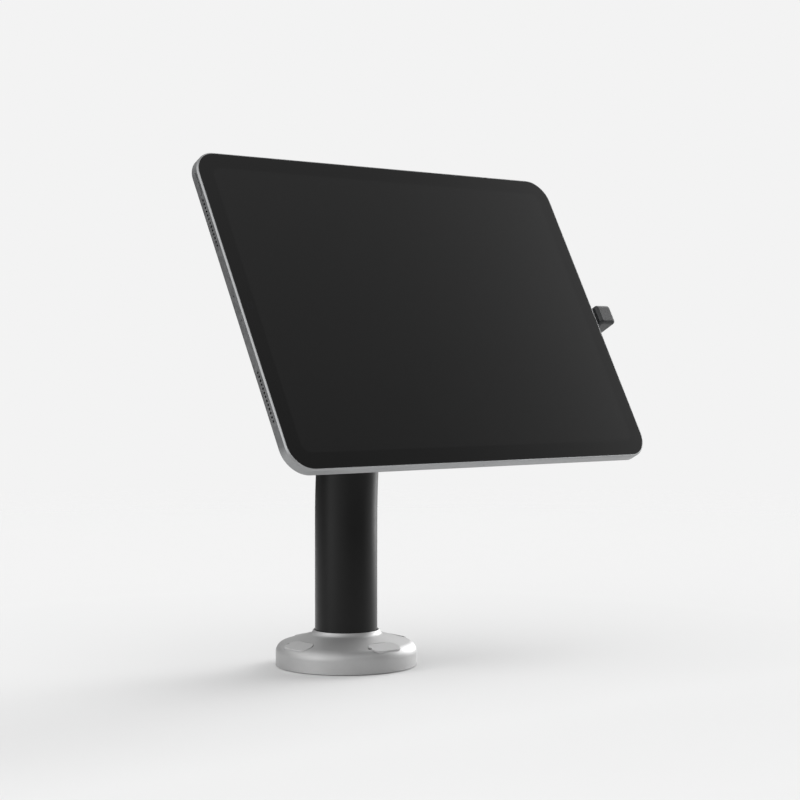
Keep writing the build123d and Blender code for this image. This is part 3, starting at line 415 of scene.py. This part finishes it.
def make_materials():
    return {
        "rubber": plastic("rubber", 0.012, 0.018, 0.75, 0.9),
        "zinc_steel": turned_metal("zinc_steel", 0.5, 0.62, 0.28, 0.42),
        "grey_paint": metallic_paint("grey_paint", 0.43, 0.49, 0.50, 0.56),
        "cap_plastic": plastic("cap_plastic", 0.45, 0.48, 0.42, 0.5, strength=0.15),
        "screw_steel": turned_metal("screw_steel", 0.42, 0.52, 0.25, 0.4),
        "bearing_plastic": plastic("bearing_plastic", 0.62, 0.68, 0.4, 0.5, strength=0.1),
        "black_paint": powder_coat("black_paint", 0.001, 0.0015, 0.29, 0.35, gloss=0.28),
        "black_screw": turned_metal("black_screw", 0.02, 0.03, 0.35, 0.5),
        "black_cast": powder_coat("black_cast", 0.012, 0.016, 0.38, 0.48, 1500.0),
        "foam_tape": plastic("foam_tape", 0.02, 0.03, 0.8, 0.95),
        "tablet_aluminium": anodised("tablet_aluminium", 0.33, 0.38, 0.38, 0.46),
        "screen_glass": screen_glass("screen_glass"),
        "panel": plastic("panel", 0.012, 0.016, 0.3, 0.4),
        "camera_module": plastic("camera_module", 0.006, 0.01, 0.25, 0.35),
        "battery": coloured("battery", (0.03, 0.03, 0.032), (0.045, 0.045, 0.048), 0.3, 0.5),
        "circuit_board": coloured("circuit_board", (0.006, 0.035, 0.018), (0.012, 0.055, 0.03), 0.35, 0.5),
        "shield_metal": turned_metal("shield_metal", 0.55, 0.65, 0.3, 0.4),
        "speaker_plastic": plastic("speaker_plastic", 0.003, 0.005, 0.6, 0.7),
        "port_metal": turned_metal("port_metal", 0.4, 0.5, 0.2, 0.3),
        "lens_glass": lens_glass("lens_glass"),
        "flash_plastic": plastic("flash_plastic", 0.7, 0.8, 0.15, 0.25),
        "arm_plastic": plastic("arm_plastic", 0.02, 0.026, 0.45, 0.55, tint=0.02),
        "plug_plastic": plastic("plug_plastic", 0.016, 0.022, 0.4, 0.5, tint=0.08),
    }


def dress_nodes(materials):
    """Give each CAD node the material of its slot."""
    slots = {s["node"]: s["material_slot"] for s in frame["record"]["subparts"]}
    for name, obj in nodes.items():
        obj.data.materials.clear()
        obj.data.materials.append(materials[slots[name]])


# ---------------------------------------------------------------- fine pieces
def place_frame(right, up, out, origin):
    """Matrix whose local X, Y and Z are the three directions given."""
    turn = Matrix((right, up, out)).transposed().to_4x4()
    return Matrix.Translation(origin) @ turn


def add_piece(name, mesh, body, material):
    """Make a smooth piece of a mesh, riding on a body of the frame."""
    piece = bpy.data.objects.new(name, mesh)
    bpy.context.scene.collection.objects.link(piece)
    mesh.materials.append(material)
    for face in mesh.polygons:
        face.use_smooth = True
    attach(piece, body)


def weld_bead(material):
    """Rippled bead that fills the corner between the pole's end and the neck flange."""
    steps, across = 240, 7
    ripples, uneven_places = 44, 5
    pole_radius, leg, bulge = 0.01752, 0.0022, 0.16
    mesh = bpy.data.meshes.new("weld_bead")
    bm = bmesh.new()
    rings = []
    for i in range(steps):
        turn = 2 * math.pi * i / steps
        wave = abs(math.sin(0.5 * ripples * turn))
        size = leg * (0.88 + 0.12 * wave + 0.03 * math.sin(uneven_places * turn))
        ring = []
        for j in range(across):
            share = j / (across - 1)
            swell = bulge * math.sin(math.pi * share) * (0.5 + wave)
            out = size * (1 - share + swell)
            back = size * (share + swell)
            radius = pole_radius + out
            place = (radius * math.cos(turn), radius * math.sin(turn), -(FLANGE_BACK + back))
            ring.append(bm.verts.new(place))
        rings.append(ring)
    for i in range(steps):
        here, there = rings[i], rings[(i + 1) % steps]
        for j in range(across - 1):
            bm.faces.new((here[j], here[j + 1], there[j + 1], there[j]))
    bmesh.ops.recalc_face_normals(bm, faces=bm.faces)
    bm.transform(place_frame(TABLET_RIGHT, TABLET_UP, TABLET_OUT, BACK_CENTRE))
    bm.to_mesh(mesh)
    bm.free()
    add_piece("weld_bead", mesh, "pole", material)


def speaker_mesh(material):
    """Acoustic mesh a little way down every speaker hole."""
    half_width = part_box("rear_housing")[1][0]
    holes, pitch, row_middle = 13, 0.00219, 0.0487
    sunk, radius = 0.0010, 0.00064
    mesh = bpy.data.meshes.new("speaker_mesh")
    bm = bmesh.new()
    for side in (-1, 1):
        for row in (-1, 1):
            for hole in range(holes):
                along = row * row_middle + (hole - (holes - 1) / 2) * pitch
                centre = MIDDLE + TABLET_UP * along + TABLET_RIGHT * side * (half_width - sunk)
                frame_there = place_frame(TABLET_UP, TABLET_OUT, TABLET_RIGHT, centre)
                bmesh.ops.create_circle(bm, cap_ends=True, segments=16, radius=radius, matrix=frame_there)
    bm.to_mesh(mesh)
    bm.free()
    add_piece("speaker_mesh", mesh, "tablet", material)


bpy.context.scene.view_settings.view_transform = "Standard"
make_camera()
make_world()
make_floor()
materials = make_materials()
dress_nodes(materials)
weld_bead(materials["black_paint"])
speaker_mesh(materials["speaker_plastic"])
